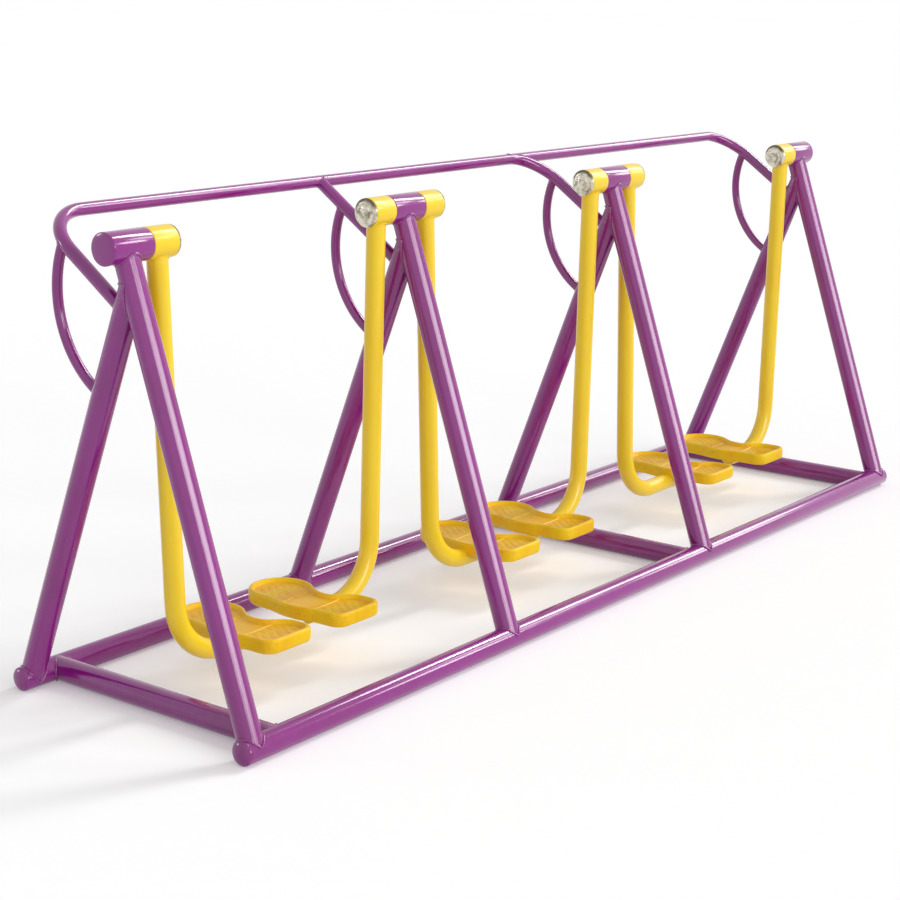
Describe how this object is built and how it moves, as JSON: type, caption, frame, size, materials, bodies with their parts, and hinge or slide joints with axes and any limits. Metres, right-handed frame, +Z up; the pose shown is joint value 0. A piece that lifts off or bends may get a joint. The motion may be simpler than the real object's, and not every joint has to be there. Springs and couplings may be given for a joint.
{
  "type": "outdoor air walker",
  "caption": "Outdoor air walker with side by side stations: hinged arms with footplates hang from hub tubes on leg frames, with a shared handrail and ground rails.",
  "frame": {"origin": "on the ground, midway between the end frames and between the two ground rails", "axes": "+X along the machine, +Y from the user towards the handrail, +Z up"},
  "size_m": [3.229, 0.7962, 1.182],
  "materials": {
    "purple_paint": "glossy powder coat",
    "yellow_paint": "glossy powder coat",
    "bright_steel": "polished",
    "shaft_steel": "turned",
    "bearing_steel": "ground"
  },
  "bodies": {
    "frame": {"front_ground_rail": "purple_paint", "rear_ground_rail": "purple_paint", "front_rail_left_cap": "purple_paint", "front_rail_right_cap": "purple_paint", "rear_rail_left_cap": "purple_paint", "rear_rail_right_cap": "purple_paint", "cross_tube_1": "purple_paint", "cross_tube_3": "purple_paint", "cross_tube_4": "purple_paint", "front_leg_1": "purple_paint", "rear_leg_1": "purple_paint", "front_leg_2": "purple_paint", "rear_leg_2": "purple_paint", "front_leg_3": "purple_paint", "rear_leg_3": "purple_paint", "front_leg_4": "purple_paint", "rear_leg_4": "purple_paint", "handrail_left": "purple_paint", "handrail_right": "purple_paint", "handrail_arm_2": "purple_paint", "curved_brace_1": "purple_paint", "curved_brace_2": "purple_paint", "curved_brace_3": "purple_paint", "curved_brace_4": "purple_paint", "hub_1": "purple_paint", "hub_2": "purple_paint", "hub_3": "purple_paint", "hub_4": "purple_paint", "left_hub_end_cap": "purple_paint", "right_hub_end_cap": "purple_paint", "hub_shaft_1": "shaft_steel", "hub_shaft_2": "shaft_steel", "hub_shaft_3": "shaft_steel", "hub_shaft_4": "shaft_steel", "cap_nut_1_left": "bright_steel", "cap_nut_1_right": "bright_steel", "cap_nut_2_left": "bright_steel", "cap_nut_2_right": "bright_steel", "cap_nut_3_left": "bright_steel", "cap_nut_3_right": "bright_steel"},
    "swing_1_left": {"swing_arm_1_left": "yellow_paint", "footplate_1_left": "yellow_paint", "bearing_1_left": "bearing_steel"},
    "swing_1_right": {"swing_arm_1_right": "yellow_paint", "footplate_1_right": "yellow_paint", "bearing_1_right": "bearing_steel"},
    "swing_2_left": {"swing_arm_2_left": "yellow_paint", "footplate_2_left": "yellow_paint", "bearing_2_left": "bearing_steel"},
    "swing_2_right": {"swing_arm_2_right": "yellow_paint", "footplate_2_right": "yellow_paint", "bearing_2_right": "bearing_steel"},
    "swing_3_left": {"swing_arm_3_left": "yellow_paint", "footplate_3_left": "yellow_paint", "bearing_3_left": "bearing_steel"},
    "swing_3_right": {"swing_arm_3_right": "yellow_paint", "footplate_3_right": "yellow_paint", "bearing_3_right": "bearing_steel"}
  },
  "joints": [
    {"name": "swing_1_left_pivot", "type": "hinge", "parent": "frame", "child": "swing_1_left", "pos_m": [-1.4514, 0, 1.117], "axis": [1, 0, 0], "range_deg": [-50, 50]},
    {"name": "swing_1_right_pivot", "type": "hinge", "parent": "frame", "child": "swing_1_right", "pos_m": [-0.6836, 0, 1.117], "axis": [1, 0, 0], "range_deg": [-50, 50]},
    {"name": "swing_2_left_pivot", "type": "hinge", "parent": "frame", "child": "swing_2_left", "pos_m": [-0.4864, 0, 1.117], "axis": [1, 0, 0], "range_deg": [-50, 50]},
    {"name": "swing_2_right_pivot", "type": "hinge", "parent": "frame", "child": "swing_2_right", "pos_m": [0.2964, 0, 1.117], "axis": [1, 0, 0], "range_deg": [-50, 50]},
    {"name": "swing_3_left_pivot", "type": "hinge", "parent": "frame", "child": "swing_3_left", "pos_m": [0.4936, 0, 1.117], "axis": [1, 0, 0], "range_deg": [-50, 50]},
    {"name": "swing_3_right_pivot", "type": "hinge", "parent": "frame", "child": "swing_3_right", "pos_m": [1.4514, 0, 1.117], "axis": [1, 0, 0], "range_deg": [-50, 50]}
  ]
}
